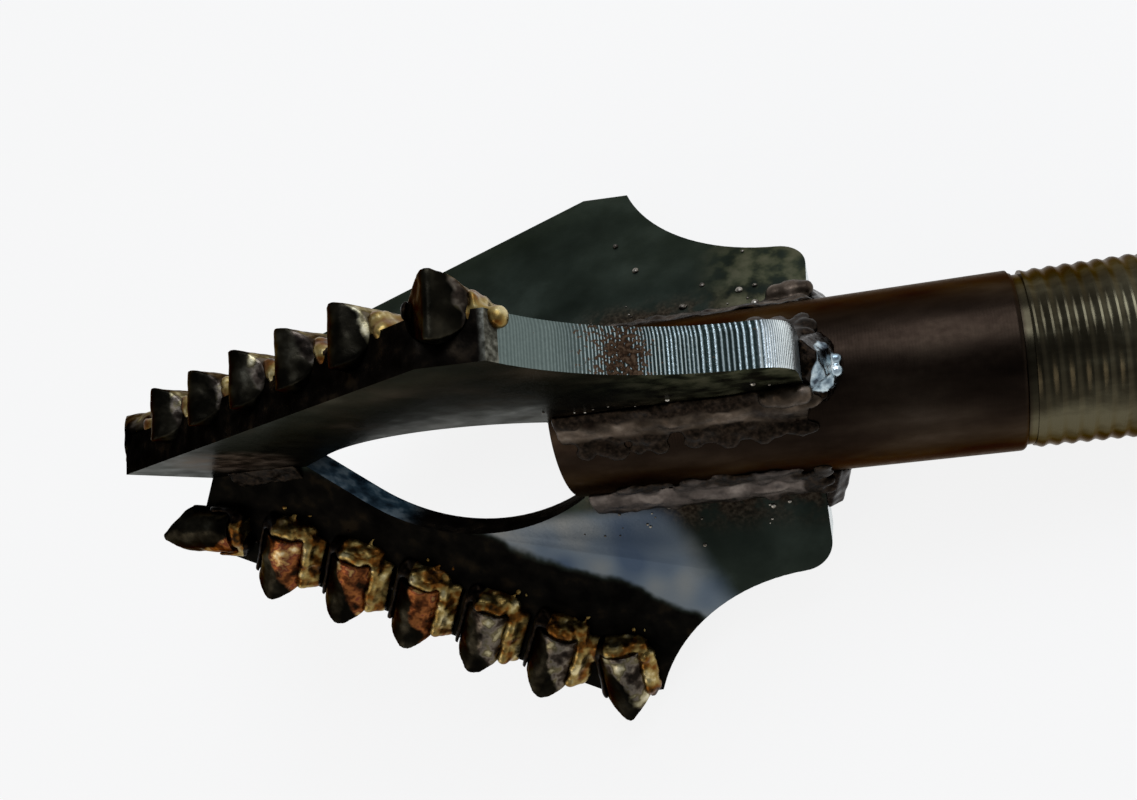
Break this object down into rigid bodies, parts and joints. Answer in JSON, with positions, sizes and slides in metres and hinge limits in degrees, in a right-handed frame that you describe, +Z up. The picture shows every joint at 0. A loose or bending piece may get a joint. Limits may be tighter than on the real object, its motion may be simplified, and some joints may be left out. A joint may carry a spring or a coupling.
{
  "type": "three-wing drag bit",
  "caption": "Drag bit for drilling rock: a tube shank with a threaded pin, welded steel wings and brazed carbide inserts stepped along each wing's leading edge.",
  "frame": {"origin": "on the floor, below the centre of the bounding box", "axes": "+Z up from the floor, +X towards the threaded pin, the nose towards -X, +Y to the left as seen from the nose, +X being the longest extent"},
  "size_m": [0.3264, 0.187, 0.1606],
  "materials": {
    "turned_steel": "turned, browned by heat and oil",
    "mill_scale_steel": "dark mill scale, flame-cut edges",
    "tungsten_carbide": "sintered, matt dark grey",
    "braze_brass": "brazed, heat-tinted gold to brown",
    "weld_steel": "rippled weld metal with spatter"
  },
  "bodies": {
    "root": {"shank": "turned_steel", "wing_1": "mill_scale_steel", "root_weld_1_lead": "weld_steel", "root_weld_1_trail": "weld_steel", "heel_weld_1": "weld_steel", "nose_weld_1": "weld_steel", "tooth_1_1": "tungsten_carbide", "tooth_1_2": "tungsten_carbide", "tooth_1_3": "tungsten_carbide", "tooth_1_4": "tungsten_carbide", "tooth_1_5": "tungsten_carbide", "tooth_1_6": "tungsten_carbide", "tooth_1_7": "tungsten_carbide", "wing_2": "mill_scale_steel", "root_weld_2_lead": "weld_steel", "root_weld_2_trail": "weld_steel", "heel_weld_2": "weld_steel", "nose_weld_2": "weld_steel", "tooth_2_1": "tungsten_carbide", "tooth_2_2": "tungsten_carbide", "tooth_2_3": "tungsten_carbide", "tooth_2_4": "tungsten_carbide", "tooth_2_5": "tungsten_carbide", "tooth_2_6": "tungsten_carbide", "tooth_2_7": "tungsten_carbide", "wing_3": "mill_scale_steel", "root_weld_3_lead": "weld_steel", "root_weld_3_trail": "weld_steel", "heel_weld_3": "weld_steel", "nose_weld_3": "weld_steel", "tooth_3_1": "tungsten_carbide", "tooth_3_2": "tungsten_carbide", "tooth_3_3": "tungsten_carbide", "tooth_3_4": "tungsten_carbide", "tooth_3_5": "tungsten_carbide", "tooth_3_6": "tungsten_carbide", "tooth_3_7": "tungsten_carbide", "braze_1": "braze_brass", "braze_2": "braze_brass", "braze_3": "braze_brass"}
  },
  "joints": []
}
